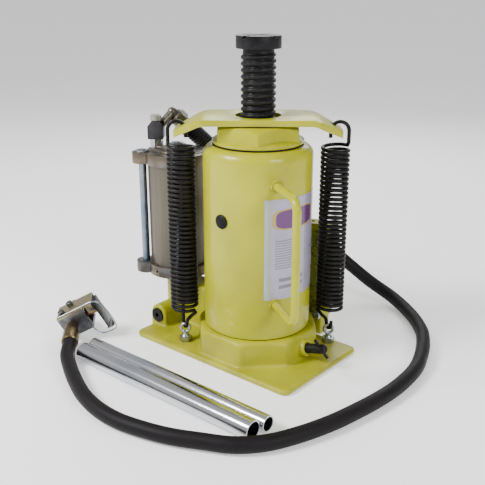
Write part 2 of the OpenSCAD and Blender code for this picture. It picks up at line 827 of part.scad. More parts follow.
module swivel_block() {
    w = block_width;
    color([0.28, 0.28, 0.31]) translate([inlet_x, inlet_y, block_bottom]) rotate(yoke_angle) difference() {
        rotate([90, 0, 0]) linear_extrude(w, center = true) polygon(rounded(
            [[-w / 2, 0], [w / 2, 0], [w / 2, block_height - 5], [w / 2 - 4, block_height],
             [-w / 2 + 4, block_height], [-w / 2, block_height - 5]], 1.2));
        translate([0, 0, -1]) cylinder(h = block_height + 2, r = 2.5);
    }
}

module swivel_plug() {
    color([0.62, 0.62, 0.62]) translate([inlet_x, inlet_y, block_top]) rotate(yoke_angle)
        rotate_extrude() polygon([[0, 0], [plug_radius - 1, 0], [plug_radius, 1],
            [plug_radius, plug_height - 1], [plug_radius - 1, plug_height], [0, plug_height]]);
}

// Round bar between two points
module bar_between(start, end, radius) {
    d = end - start;
    translate(start) rotate([0, acos(d[2] / norm(d)), atan2(d[1], d[0])]) cylinder(h = norm(d), r = radius);
}

// Elbow from the swivel block to the hose nut
module hose_elbow() {
    color(zinc) difference() {
        union() {
            bar_between([inlet_x + 1, inlet_y + 4, block_bottom + 12], elbow_point, elbow_radius - 1);
            translate(elbow_point) sphere(r = elbow_radius);
            at_hose_end() cylinder(h = jack_ferrule_start, r = 5);
            at_hose_end() translate([0, 0, hose_nut_start]) intersection() {
                hex(2 * hose_nut_radius, hose_nut_length);
                rotate_extrude() polygon([[0, 0], [hose_nut_radius - 1, 0], [hose_nut_radius + 1.2, 3],
                    [hose_nut_radius + 1.2, hose_nut_length - 1], [hose_nut_radius, hose_nut_length], [0, hose_nut_length]]);
            }
        }
        translate([inlet_x, inlet_y, block_bottom - 1]) rotate(yoke_angle)
            translate([-block_width / 2 - seat_fit, -block_width / 2 - seat_fit, 0])
                cube([block_width + 2 * seat_fit, block_width + 2 * seat_fit, block_height + 1 + seat_fit]);
        translate([inlet_x, inlet_y, block_top]) cylinder(h = plug_height + seat_fit, r = plug_radius + seat_fit);
    }
}

// Hose nut and the ribbed ferrule pressed on the hose
module hose_ferrule_jack() {
    color(black) at_hose_end() difference() {
        union() {
            translate([0, 0, hose_nut_start + hose_nut_length])
                cylinder(h = jack_ferrule_start - hose_nut_start - hose_nut_length + 1, r = jack_ferrule_radius - 3);
            translate([0, 0, jack_ferrule_start]) rotate_extrude() polygon(concat(
                [[0, 0], [jack_ferrule_radius + 1, 0], [jack_ferrule_radius + 1, 3]],
                [for (i = [1:rib_count]) each [[jack_ferrule_radius, rib_pitch * i],
                    [jack_ferrule_radius - 0.7, rib_pitch * (i + 0.5)]]],
                [[jack_ferrule_radius, jack_ferrule_length - 4], [jack_ferrule_radius, jack_ferrule_length],
                 [0, jack_ferrule_length]]));
        }
        cylinder(h = jack_ferrule_start + seat_fit, r = 5 + seat_fit);
        translate([0, 0, jack_ferrule_start + jack_ferrule_length - hose_seat_depth])
            cylinder(h = 60, r = hose_radius + seat_fit);
    }
}

module hand_packing_nut() {
    color(black) translate([pump_x, pump_y, column_height]) difference() {
        hex(packing_nut_width, packing_nut_height);
        translate([0, 0, -1]) cylinder(h = 20, r = hand_plunger_radius + running_fit);
    }
}

module hand_plunger() {
    low = 30;
    color(steel) translate([pump_x, pump_y, 0]) difference() {
        union() {
            translate([0, 0, low]) cylinder(h = tongue_bottom - low, r = hand_plunger_radius);
            translate([-tongue_radius, -tongue_thickness / 2, tongue_bottom - 6])
                cube([2 * tongue_radius, tongue_thickness, fulcrum_z - tongue_bottom + 6]);
            translate([0, 0, fulcrum_z]) rotate([90, 0, 0])
                cylinder(h = tongue_thickness, r = tongue_radius, center = true);
        }
        translate([0, 0, fulcrum_z]) rotate([90, 0, 0])
            cylinder(h = 40, r = plunger_pin_radius + seat_fit, center = true);
    }
}

module plunger_pin() {
    color(steel) translate([pump_x, pump_y, fulcrum_z]) rotate([90, 0, 0])
        cylinder(h = cheek_gap + 2 * cheek_thickness, r = plunger_pin_radius, center = true);
}

// Two strips that carry the fulcrum pin above the base
module pump_link() {
    color(zinc) for (side = [-1, 1])
        translate([fulcrum_x, pump_y + side * (link_gap / 2 + link_thickness / 2), 0]) rotate([90, 0, 0])
            linear_extrude(link_thickness, center = true) difference() {
                union() {
                    translate([0, link_low_z]) circle(8);
                    translate([0, fulcrum_z]) circle(9);
                    translate([-7, link_low_z]) square([14, fulcrum_z - link_low_z]);
                }
                for (z = [link_low_z, fulcrum_z]) translate([0, z]) circle(fulcrum_radius + seat_fit);
            }
}

module link_pins() {
    color(zinc) for (z = [link_low_z, fulcrum_z]) translate([fulcrum_x, pump_y, z]) rotate([90, 0, 0])
        cylinder(h = link_gap + 2 * link_thickness + 4, r = fulcrum_radius, center = true);
}

// Forked lever with the socket that the handle goes in
module handle_socket() {
    width = cheek_gap + 2 * cheek_thickness;
    outer = socket_bore / 2 + socket_wall;
    color(paint) at_fulcrum() difference() {
        union() {
            rotate([90, 0, 0]) linear_extrude(width, center = true) polygon(rounded(
                [[14, -13], [14, 12], [4, 18], [-22, 15], [-socket_start - 4, 3 + outer],
                 [-socket_start - 4, -outer + 2], [-22, -9], [4, -16]], 3));
            rotate([0, socket_tilt, 0]) translate([-socket_start, 0, 0]) rotate([0, -90, 0])
                cylinder(h = socket_length, r = outer);
        }
        // window for the plunger's tongue and slots for its pin
        translate([-pump_arm, 0, 0]) cube([24, cheek_gap, 60], center = true);
        rotate([90, 0, 0]) cylinder(h = 40, r = fulcrum_radius + running_fit, center = true);
        for (shift = [-2.2, 2.2]) translate([-pump_arm + shift, 0, 0]) rotate([90, 0, 0])
            cylinder(h = 40, r = plunger_pin_radius + loose_fit, center = true);
        translate([-pump_arm, 0, 0]) cube([4.4, 40, 2 * plunger_pin_radius + 2 * loose_fit], center = true);
        rotate([0, socket_tilt, 0]) translate([-socket_start - 6, 0, 0]) rotate([0, -90, 0])
            cylinder(h = socket_length, r = socket_bore / 2);
    }
}

module check_balls() {
    color(steel) {
        at_motor(air_plunger_bottom - 4) sphere(r = 3);
        translate([pump_x, pump_y, 18]) sphere(r = 3);
    }
}

module air_hose() {
    jack_line = [cos(hose_heading) * cos(hose_fall), sin(hose_heading) * cos(hose_fall), -sin(hose_fall)];
    valve_line = [cos(valve_heading) * cos(valve_rise), sin(valve_heading) * cos(valve_rise), sin(valve_rise)];
    start = elbow_point + (jack_ferrule_start + jack_ferrule_length - hose_seat_depth) * jack_line;
    end = valve_origin - valve_ferrule_length * valve_line;
    route = concat([start, start + (hose_seat_depth + 4) * jack_line], hose_points, [end - 6 * valve_line, end]);
    color(rubber) swept_tube(smooth_route(route), hose_radius, 10);
}

module hose_ferrule_valve() {
    color(brass) at_valve() rotate([0, -90, 0]) rotate_extrude() polygon([
        [0, 0], [6, 0], [6.5, 8], [valve_ferrule_radius - 1, 12], [valve_ferrule_radius, 14],
        [valve_ferrule_radius, valve_ferrule_length - 1], [valve_ferrule_radius - 1, valve_ferrule_length],
        [0, valve_ferrule_length]]);
}

module valve_body() {
    color(zinc) at_valve() difference() {
        union() {
            translate([0, valve_right, valve_low])
                cube([valve_length, valve_left - valve_right, valve_high - valve_low]);
        }
        // bore of the valve plunger
        translate([valve_length / 2, 0, 0]) rotate([90, 0, 0])
            cylinder(h = 60, r = valve_plunger_radius + running_fit);
    }
}

// Plate over the body that ends in the lever's two ears
module valve_cover() {
    color([0.72, 0.70, 0.50]) at_valve() difference() {
        union() {
            translate([0, cover_right, valve_high]) cube([valve_length, valve_left - cover_right, cover_thickness]);
            for (x = [0, valve_length - cover_thickness])
                translate([x, cover_right, lever_pin_z - 4])
                    cube([cover_thickness, valve_right - cover_right - 4, valve_high - lever_pin_z + 4]);
        }
        translate([-1, lever_pin_y, lever_pin_z]) rotate([0, 90, 0])
            cylinder(h = valve_length + 2, r = lever_pin_radius + seat_fit);
    }
}

module valve_screws() {
    color(zinc) at_valve() for (y = [6, -14]) translate([valve_length / 2, y, valve_high + cover_thickness])
        difference() {
            cylinder(h = 2.4, r = 3.4);
            translate([-5, -0.5, 1.2]) cube([10, 1, 5]);
        }
}

module valve_inlet() {
    color(zinc) at_valve() translate([valve_length, 0, 0]) rotate([0, 90, 0]) difference() {
        union() {
            hex(19, 8);
            cylinder(h = 17, r = 8);
        }
        translate([0, 0, 3]) cylinder(h = 30, r = inlet_thread_radius);
    }
}

module valve_lever() {
    color(zinc) at_valve() difference() {
        union() {
            translate([cover_thickness + loose_fit, lever_pin_y - 3 - lever_thickness, lever_pin_z - lever_reach])
                cube([valve_length - 2 * cover_thickness - 2 * loose_fit, lever_thickness, lever_reach]);
            translate([cover_thickness + loose_fit, lever_pin_y, lever_pin_z]) rotate([0, 90, 0])
                cylinder(h = valve_length - 2 * cover_thickness - 2 * loose_fit, r = 3);
            translate([cover_thickness + loose_fit, lever_pin_y - 3 - lever_thickness, lever_pin_z - 3])
                cube([valve_length - 2 * cover_thickness - 2 * loose_fit, 4, 5]);
        }
        translate([-1, lever_pin_y, lever_pin_z]) rotate([0, 90, 0])
            cylinder(h = valve_length + 2, r = lever_pin_radius + running_fit);
    }
}

module valve_lever_pin() {
    color(zinc) at_valve() translate([-1, lever_pin_y, lever_pin_z]) rotate([0, 90, 0])
        cylinder(h = valve_length + 2, r = lever_pin_radius);
}

module valve_plunger() {
    color(bronze) at_valve() translate([valve_length / 2, lever_pin_y - 2.4, 0]) rotate([-90, 0, 0])
        cylinder(h = valve_right - lever_pin_y + 2.4 + 12, r = valve_plunger_radius);
}

// Small spring behind the valve plunger
module valve_spring() {
    color(steel) at_valve() translate([valve_length / 2, -seat_fit, 0]) rotate([90, 0, 0])
        ring(2, 3, valve_spring_length);
}

module handle_tube(start, diameter, length) {
    color(zinc) translate([start[0], start[1], diameter / 2]) rotate([0, 90, 0])
        ring(diameter / 2 - tube_wall, diameter / 2, length);
}

module handle_outer_tube() handle_tube(outer_tube_start, outer_tube_diameter, outer_tube_length);

module handle_inner_tube() handle_tube(inner_tube_start, inner_tube_diameter, inner_tube_length);

base_casting();
passage_plug();
cylinder_gasket();
pressure_cylinder();
tank_seal();
oil_tank();
head_seal();
head_nut();
head_o_ring();
ram_wiper();
filler_plug();
carry_handle();
label();
eye_bolt_left();
eye_bolt_right();
eye_bolt_nuts();
return_spring_left();
return_spring_right();
ram();
ram_piston();
piston_seal();
yoke_plate();
extension_screw();
screw_stop_ring();
release_screw();
release_pin();
pump_sleeve();
motor_lower_plate();
motor_barrel();
motor_cap();
motor_tie_rods();
motor_tie_nuts();
motor_piston();
motor_piston_seal();
air_plunger();
motor_spring();
inlet_neck();
swivel_block();
swivel_plug();
hose_elbow();
hose_ferrule_jack();
hand_packing_nut();
hand_plunger();
plunger_pin();
pump_link();
link_pins();
handle_socket();
check_balls();
air_hose();
hose_ferrule_valve();
valve_body();
valve_cover();
valve_screws();
valve_inlet();
valve_lever();
valve_lever_pin();
valve_plunger();
valve_spring();
handle_outer_tube();
handle_inner_tube();
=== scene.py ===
import math
import bpy
from mathutils import Matrix, Vector


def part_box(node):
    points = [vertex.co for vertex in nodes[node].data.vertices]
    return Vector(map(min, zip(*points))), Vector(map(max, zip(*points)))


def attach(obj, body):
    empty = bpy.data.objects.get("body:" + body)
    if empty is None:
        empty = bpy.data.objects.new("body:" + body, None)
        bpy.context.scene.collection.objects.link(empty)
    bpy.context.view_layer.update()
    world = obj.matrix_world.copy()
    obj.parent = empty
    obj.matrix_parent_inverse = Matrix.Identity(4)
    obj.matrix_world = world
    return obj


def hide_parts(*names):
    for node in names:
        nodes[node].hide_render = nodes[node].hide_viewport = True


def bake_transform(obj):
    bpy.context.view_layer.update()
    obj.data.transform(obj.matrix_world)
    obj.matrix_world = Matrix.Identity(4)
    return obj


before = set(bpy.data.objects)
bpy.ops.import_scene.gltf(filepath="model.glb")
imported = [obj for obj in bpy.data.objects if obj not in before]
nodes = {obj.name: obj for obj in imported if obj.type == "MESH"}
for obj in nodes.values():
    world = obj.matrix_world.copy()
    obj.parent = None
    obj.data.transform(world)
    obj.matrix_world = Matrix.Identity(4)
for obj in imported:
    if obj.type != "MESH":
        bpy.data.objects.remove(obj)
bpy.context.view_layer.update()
print("frame loaded")

# camera, standing to the right of the plate and a little above the saddle
cameraValues = {"place": (0.4733, -0.5830, 0.3791), "pitch": 19.11, "turn": 40.25, "lens": 56.67}

bpy.ops.object.camera_add(location=cameraValues["place"])
camera = bpy.context.object
camera.rotation_euler = (math.radians(90 - cameraValues["pitch"]), 0, math.radians(cameraValues["turn"]))
camera.data.lens = cameraValues["lens"]
camera.data.sensor_width = 36
camera.data.clip_start = 0.01
bpy.context.scene.camera = camera


# a shader socket that takes part in ordinary arithmetic
class Wire:
    def __init__(self, finish, socket):
        self.finish = finish
        self.socket = socket

    def combine(self, operation, *others):
        return self.finish.add("ShaderNodeMath", {"operation": operation}, dict(enumerate([self, *others])))

    def __add__(self, other):
        return self.combine("ADD", other)

    def __radd__(self, other):
        return self.combine("ADD", other)

    def __sub__(self, other):
        return self.combine("SUBTRACT", other)

    def __rsub__(self, other):
        return self.finish.add("ShaderNodeMath", {"operation": "SUBTRACT"}, {0: other, 1: self})

    def __mul__(self, other):
        return self.combine("MULTIPLY", other)

    def __rmul__(self, other):
        return self.combine("MULTIPLY", other)

    def __truediv__(self, other):
        return self.combine("DIVIDE", other)

    def __gt__(self, other):
        return self.combine("GREATER_THAN", other)

    def __lt__(self, other):
        return self.combine("LESS_THAN", other)


class Finish:
    def __init__(self, name):
        self.material = bpy.data.materials.new(name)
        self.material.use_nodes = True
        self.tree = self.material.node_tree
        self.surface = self.tree.nodes["Principled BSDF"]
        self.place = self.add("ShaderNodeTexCoord", output="Object")

    def add(self, kind, settings=None, inputs=None, output=0):
        node = self.tree.nodes.new(kind)
        for key, value in (settings or {}).items():
            if key == "stops":
                ramp = node.color_ramp
                while len(ramp.elements) < len(value):
                    ramp.elements.new(0.5)
                for element, (position, colour) in zip(ramp.elements, value):
                    element.position = position
                    element.color = (*colour, 1)
            else:
                setattr(node, key, value)
        for key, value in (inputs or {}).items():
            self.feed(node.inputs[key], value)
        return Wire(self, node.outputs[output])

    def feed(self, socket, value):
        if isinstance(value, Wire):
            self.tree.links.new(value.socket, socket)
        elif isinstance(value, tuple) and len(value) == 3 and socket.type == "RGBA":
            socket.default_value = (*value, 1)
        else:
            socket.default_value = value

    def axes(self):
        split = self.add("ShaderNodeSeparateXYZ", inputs={0: self.place}).socket.node
        return [Wire(self, split.outputs[i]) for i in range(3)]

    def stretched(self, scale):
        return self.add("ShaderNodeMapping", inputs={"Vector": self.place, "Scale": scale})

    def noise(self, scale, detail=3.0, roughness=0.5, where=None):
        return self.add("ShaderNodeTexNoise",
                        inputs={"Vector": where or self.place, "Scale": scale, "Detail": detail,
                                "Roughness": roughness})

    def ramp(self, factor, *stops):
        return self.add("ShaderNodeValToRGB", {"stops": stops}, {0: factor})

    def remap(self, value, low, high, newLow, newHigh):
        return self.add("ShaderNodeMapRange", inputs={0: value, 1: low, 2: high, 3: newLow, 4: newHigh})

    def mix(self, factor, first, second):
        return self.add("ShaderNodeMix", {"data_type": "RGBA"}, {0: factor, 6: first, 7: second}, output=2)

    def bump(self, height, distance, strength=1.0, over=None):
        inputs = {"Height": height, "Distance": distance, "Strength": strength}
        if over:
            inputs["Normal"] = over
        return self.add("ShaderNodeBump", inputs=inputs)

    def done(self, **sockets):
        names = {"colour": "Base Color", "roughness": "Roughness", "metallic": "Metallic", "coat": "Coat Weight",
                 "coatRoughness": "Coat Roughness", "normal": "Normal", "specular": "Specular IOR Level"}
        for key, value in sockets.items():
            self.feed(self.surface.inputs[names[key]], value)
        return self.material


# enamel: gloss yellow-green with a little orange peel, and darkening low down that is painted shade together with
# dust
def enamel(name, values):
    finish = Finish(name)
    x, y, z = finish.axes()
    cloud = finish.noise(values["cloudScale"], 4)
    peel = finish.noise(values["peelScale"], 2)
    pits = finish.noise(values["pitScale"], 5, 0.65)
    speck = finish.remap(finish.noise(values["speckScale"], 6, 0.7), 0.66, 0.72, 0, 1)
    # darker towards the bottom: painted shade low down, together with dust, broken up by the pits noise
    low = finish.remap(z, 0.0, values["lowShadeAndDustTop"], values["lowShadeAndDust"], 0)
    base = finish.ramp(cloud, (0.3, values["dark"]), (0.52, values["colour"]), (0.75, values["light"]))
    shadedAndDustyLow = finish.mix(low * finish.remap(pits, 0.35, 0.7, 0.2, 1), base, values["dustAndShadeColour"])
    chipped = finish.mix(speck * values["specks"], shadedAndDustyLow, values["dustAndShadeColour"])
    rough = finish.remap(cloud, 0.3, 0.7, values["roughness"] - 0.05, values["roughness"] + 0.07) + speck * 0.2
    fine = finish.bump(peel, values["peel"], 0.5)
    return finish.done(colour=chipped, roughness=rough, coat=values["coat"], coatRoughness=0.08, specular=0.36,
                       normal=finish.bump(pits, values["pits"], 0.6, fine))


# in each enamel the darkening low down is painted shade together with dust
tankPaint = enamel("tankEnamel", {
    "colour": (0.385, 0.385, 0.005), "dark": (0.33, 0.32, 0.004), "light": (0.44, 0.44, 0.008),
    "cloudScale": 18.0, "peelScale": 260.0, "peel": 0.00012, "pitScale": 90.0, "pits": 0.0001,
    "speckScale": 75.0, "specks": 0.25, "lowShadeAndDust": 0.1, "lowShadeAndDustTop": 0.05, "dustAndShadeColour": (0.20, 0.18, 0.05),
    "roughness": 0.30, "coat": 0.12})
castPaint = enamel("castEnamel", {
    "colour": (0.36, 0.35, 0.006), "dark": (0.26, 0.25, 0.004), "light": (0.43, 0.42, 0.010),
    "cloudScale": 26.0, "peelScale": 180.0, "peel": 0.0004, "pitScale": 420.0, "pits": 0.0005,
    "speckScale": 110.0, "specks": 0.4, "lowShadeAndDust": 0.28, "lowShadeAndDustTop": 0.03, "dustAndShadeColour": (0.19, 0.17, 0.045),
    "roughness": 0.40, "coat": 0.05})
platePaint = enamel("plateEnamel", {
    "colour": (0.37, 0.365, 0.008), "dark": (0.31, 0.305, 0.006), "light": (0.42, 0.415, 0.012),
    "cloudScale": 20.0, "peelScale": 220.0, "peel": 0.00025, "pitScale": 240.0, "pits": 0.0002,
    "speckScale": 90.0, "specks": 0.3, "lowShadeAndDust": 0.0, "lowShadeAndDustTop": 0.05, "dustAndShadeColour": (0.22, 0.2, 0.06),
    "roughness": 0.34, "coat": 0.1})
print("paint mixed")


# dark metals: oxide, spring enamel, dull coatings
def darkMetal(name, values):
    finish = Finish(name)
    cloud = finish.noise(values["cloudScale"], 4, 0.6)
    grain = finish.noise(values["grainScale"], 5, 0.7)
    worn = finish.remap(grain, values["wearStart"], values["wearStart"] + 0.1, 0, 1)
    base = finish.mix(finish.remap(cloud, 0.35, 0.65, 0, 1), values["colour"], values["second"])
    rough = finish.remap(cloud, 0.3, 0.7, values["roughness"] - 0.07, values["roughness"] + 0.09)
    return finish.done(colour=finish.mix(worn * values["wear"], base, values["wearColour"]), roughness=rough,
                       metallic=values["metallic"], specular=values["specular"],
                       normal=finish.bump(grain, values["grain"], 0.6))


oxideFinish = darkMetal("blackOxide", {
    "colour": (0.005, 0.005, 0.006), "second": (0.012, 0.011, 0.012), "wearColour": (0.06, 0.055, 0.05),
    "cloudScale": 60.0, "grainScale": 480.0, "grain": 0.0002, "wearStart": 0.6, "wear": 0.35,
    "roughness": 0.4, "metallic": 0.0, "specular": 0.16})
springFinish = darkMetal("springEnamel", {
    "colour": (0.004, 0.004, 0.004), "second": (0.010, 0.009, 0.008), "wearColour": (0.05, 0.042, 0.035),
    "cloudScale": 90.0, "grainScale": 380.0, "grain": 0.00012, "wearStart": 0.6, "wear": 0.4,
    "roughness": 0.4, "metallic": 0.0, "specular": 0.16})
blockFinish = darkMetal("blockCoating", {
    "colour": (0.028, 0.027, 0.031), "second": (0.05, 0.047, 0.05), "wearColour": (0.15, 0.14, 0.13),
    "cloudScale": 120.0, "grainScale": 700.0, "grain": 0.00025, "wearStart": 0.6, "wear": 0.5,
    "roughness": 0.4, "metallic": 0.6, "specular": 0.4})
plugFinish = darkMetal("plugCoating", {
    "colour": (0.27, 0.27, 0.25), "second": (0.36, 0.36, 0.33), "wearColour": (0.16, 0.15, 0.13),
    "cloudScale": 130.0, "grainScale": 700.0, "grain": 0.0002, "wearStart": 0.58, "wear": 0.5,
    "roughness": 0.36, "metallic": 0.7, "specular": 0.5})
nutFinish = darkMetal("hoseNutCoating", {
    "colour": (0.10, 0.09, 0.072), "second": (0.16, 0.142, 0.115), "wearColour": (0.42, 0.40, 0.36),
    "cloudScale": 130.0, "grainScale": 600.0, "grain": 0.0002, "wearStart": 0.6, "wear": 0.5,
    "roughness": 0.33, "metallic": 0.85, "specular": 0.5})


# bright metals: plated, drawn, turned; lines run along one axis or round it
def brightMetal(name, values):
    finish = Finish(name)
    cloud = finish.noise(values["cloudScale"], 4, 0.6)
    lines = finish.noise(1.0, 3, 0.6, finish.stretched(values["lines"]))
    grain = finish.noise(values["grainScale"], 4, 0.6)
    tint = finish.ramp(cloud, (0.3, values["cool"]), (0.5, values["colour"]), (0.72, values["warm"]))
    streaked = finish.mix(finish.remap(lines, 0.35, 0.65, 0, values["streak"]), tint, values["shade"])
    rough = finish.remap(lines, 0.3, 0.7, values["roughness"] - 0.06, values["roughness"] + 0.08)
    scored = finish.bump(lines, values["scoring"], 0.5)
    return finish.done(colour=streaked, roughness=rough, metallic=values["metallic"],
                       normal=finish.bump(grain, values["grain"], 0.4, scored))


zincFinish = brightMetal("brightZinc", {
    "colour": (0.42, 0.45, 0.48), "cool": (0.28, 0.34, 0.41), "warm": (0.50, 0.49, 0.46),
    "shade": (0.16, 0.175, 0.20),
    "cloudScale": 45.0, "lines": (90, 90, 90), "streak": 0.25, "scoring": 0.00006, "grainScale": 500.0,
    "grain": 0.0001, "roughness": 0.28, "metallic": 1.0})
tubeFinish = brightMetal("zincTube", {
    "colour": (0.62, 0.63, 0.66), "cool": (0.48, 0.53, 0.60), "warm": (0.66, 0.66, 0.66),
    "shade": (0.34, 0.35, 0.38),
    "cloudScale": 14.0, "lines": (4, 420, 420), "streak": 0.3, "scoring": 0.00002, "grainScale": 300.0,
    "grain": 0.00003, "roughness": 0.17, "metallic": 1.0})
rodFinish = brightMetal("zincRod", {
    "colour": (0.21, 0.26, 0.32), "cool": (0.13, 0.18, 0.25), "warm": (0.30, 0.31, 0.32),
    "shade": (0.08, 0.095, 0.12),
    "cloudScale": 40.0, "lines": (500, 500, 12), "streak": 0.4, "scoring": 0.00006, "grainScale": 400.0,
    "grain": 0.00006, "roughness": 0.3, "metallic": 1.0})
groundFinish = brightMetal("groundSteel", {
    "colour": (0.55, 0.55, 0.56), "cool": (0.48, 0.50, 0.52), "warm": (0.60, 0.59, 0.57),
    "shade": (0.36, 0.36, 0.37),
    "cloudScale": 30.0, "lines": (14, 14, 1500), "streak": 0.35, "scoring": 0.00004, "grainScale": 600.0,
    "grain": 0.00004, "roughness": 0.2, "metallic": 1.0})
barrelFinish = brightMetal("drawnBarrel", {
    "colour": (0.125, 0.11, 0.086), "cool": (0.105, 0.098, 0.086), "warm": (0.15, 0.13, 0.098),
    "shade": (0.075, 0.066, 0.052),
    "cloudScale": 9.0, "lines": (260, 260, 5), "streak": 0.3, "scoring": 0.00005, "grainScale": 700.0,
    "grain": 0.00008, "roughness": 0.42, "metallic": 0.8})
plateFinish = brightMetal("castEndPlate", {
    "colour": (0.15, 0.13, 0.105), "cool": (0.13, 0.145, 0.165), "warm": (0.20, 0.155, 0.105),
    "shade": (0.06, 0.05, 0.04),
    "cloudScale": 38.0, "lines": (60, 60, 60), "streak": 0.5, "scoring": 0.0002, "grainScale": 520.0,
    "grain": 0.00035, "roughness": 0.38, "metallic": 0.9})
copperFinish = brightMetal("dullCopper", {
    "colour": (0.34, 0.17, 0.10), "cool": (0.24, 0.12, 0.08), "warm": (0.42, 0.23, 0.14),
    "shade": (0.14, 0.08, 0.05),
    "cloudScale": 120.0, "lines": (40, 40, 600), "streak": 0.4, "scoring": 0.00005, "grainScale": 500.0,
    "grain": 0.0001, "roughness": 0.36, "metallic": 0.9})
brassFinish = brightMetal("dullBrass", {
    "colour": (0.19, 0.135, 0.06), "cool": (0.13, 0.10, 0.05), "warm": (0.30, 0.23, 0.12),
    "shade": (0.06, 0.045, 0.025),
    "cloudScale": 110.0, "lines": (300, 300, 300), "streak": 0.45, "scoring": 0.0001, "grainScale": 500.0,
    "grain": 0.0002, "roughness": 0.33, "metallic": 0.95})
bodyFinish = brightMetal("valveCasting", {
    "colour": (0.15, 0.155, 0.165), "cool": (0.09, 0.105, 0.125), "warm": (0.22, 0.20, 0.17),
    "shade": (0.03, 0.03, 0.031),
    "cloudScale": 95.0, "lines": (160, 160, 160), "streak": 0.5, "scoring": 0.00015, "grainScale": 520.0,
    "grain": 0.0003, "roughness": 0.32, "metallic": 0.95})
innerSpringFinish = brightMetal("plainWire", {
    "colour": (0.40, 0.40, 0.41), "cool": (0.33, 0.34, 0.36), "warm": (0.46, 0.44, 0.42),
    "shade": (0.2, 0.2, 0.2),
    "cloudScale": 70.0, "lines": (30, 30, 900), "streak": 0.6, "scoring": 0.0004, "grainScale": 500.0,
    "grain": 0.0001, "roughness": 0.35, "metallic": 1.0})


# yellow zinc plating, which runs through gold, rose and green
def platingFinish(name, values):
    finish = Finish(name)
    cloud = finish.noise(values["cloudScale"], 3, 0.5)
    wave = finish.noise(values["waveScale"], 2, 0.5)
    grain = finish.noise(values["grainScale"], 4, 0.6)
    bands = finish.ramp(cloud, (0.32, values["green"]), (0.45, values["gold"]), (0.58, values["rose"]),
                        (0.72, values["silver"]))
    rough = finish.remap(wave, 0.3, 0.7, values["roughness"] - 0.06, values["roughness"] + 0.1)
    return finish.done(colour=finish.mix(finish.remap(wave, 0.4, 0.65, 0, 0.6), bands, values["gold"]),
                       roughness=rough, metallic=0.95, normal=finish.bump(grain, values["grain"], 0.5))


yellowZincFinish = platingFinish("yellowZinc", {
    "green": (0.22, 0.30, 0.17), "gold": (0.42, 0.37, 0.20), "rose": (0.42, 0.29, 0.22),
    "silver": (0.46, 0.46, 0.43),
    "cloudScale": 85.0, "waveScale": 40.0, "grainScale": 450.0, "grain": 0.00012, "roughness": 0.3})


# rubber: matte, with fine grain and a dusty bloom
def rubber(name, values):
    finish = Finish(name)
    cloud = finish.noise(values["cloudScale"], 4, 0.6)
    grain = finish.noise(values["grainScale"], 4, 0.7)
    base = finish.mix(finish.remap(cloud, 0.35, 0.7, 0, 1), values["colour"], values["bloom"])
    rough = finish.remap(cloud, 0.3, 0.7, values["roughness"] - 0.06, values["roughness"] + 0.08)
    return finish.done(colour=base, roughness=rough, specular=0.14,
                       normal=finish.bump(grain, values["grain"], 0.6))


hoseFinish = rubber("hoseRubber", {
    "colour": (0.006, 0.005, 0.006), "bloom": (0.009, 0.0075, 0.0085),
    "cloudScale": 30.0, "grainScale": 900.0,
    "grain": 0.0002, "roughness": 0.55})
sealFinish = rubber("sealRubber", {
    "colour": (0.004, 0.004, 0.004), "bloom": (0.010, 0.009, 0.009), "cloudScale": 60.0, "grainScale": 700.0,
    "grain": 0.00015, "roughness": 0.5})


# printed film: silver ground, a plain lilac band and plain grey bars, with a sheen down its left edge
def labelFilm(name, values):
    finish = Finish(name)
    x, y, z = finish.axes()
    around = finish.add("ShaderNodeMath", {"operation": "ARCTAN2"}, {0: y, 1: x})
    across = finish.remap(around, math.radians(values["start"]), math.radians(values["end"]), 0, 1)
    up = finish.remap(z, values["low"], values["high"], 0, 1)
    ground = finish.mix(finish.noise(55.0, 3), values["silver"], values["silverDark"])
    sheen = finish.ramp(across, (0.0, values["edge"]), (0.05, values["edgeGreen"]), (0.12, values["silver"]),
                        (1.0, values["silverDark"]))
    film = finish.mix(finish.remap(across, 0.0, 0.16, 0.8, 0), ground, sheen)
    bandX = (across - values["bandMiddle"][0]) / values["bandHalf"][0]
    bandY = (up - values["bandMiddle"][1]) / values["bandHalf"][1]
    square = (bandX * bandX * bandX * bandX) + (bandY * bandY * bandY * bandY)  # a rounded rectangle
    inside = finish.remap(square, 0.9, 1.05, 1, 0)
    edge = finish.remap(square, 0.55, 0.62, 0, 1) * inside
    banded = finish.mix(inside, film, values["band"])
    banded = finish.mix(edge * 0.8, banded, values["bandEdge"])

    def bars(rows, share, low, high, left, right):
        row = finish.add("ShaderNodeMath", {"operation": "FRACT"}, {0: up * rows})
        return (row > share) * (up < high) * (up > low) * (across > left) * (across < right)

    printed = finish.mix(bars(*values["fineBars"]) * 0.45, banded, values["ink"])
    printed = finish.mix(bars(*values["heavyBars"]) * 0.6, printed, values["ink"])
    ripple = finish.noise(30.0, 2)
    return finish.done(colour=printed, roughness=finish.remap(ripple, 0.3, 0.7, 0.26, 0.4), metallic=0.25,
                       coat=0.4, coatRoughness=0.15, normal=finish.bump(ripple, 0.0004, 0.3))


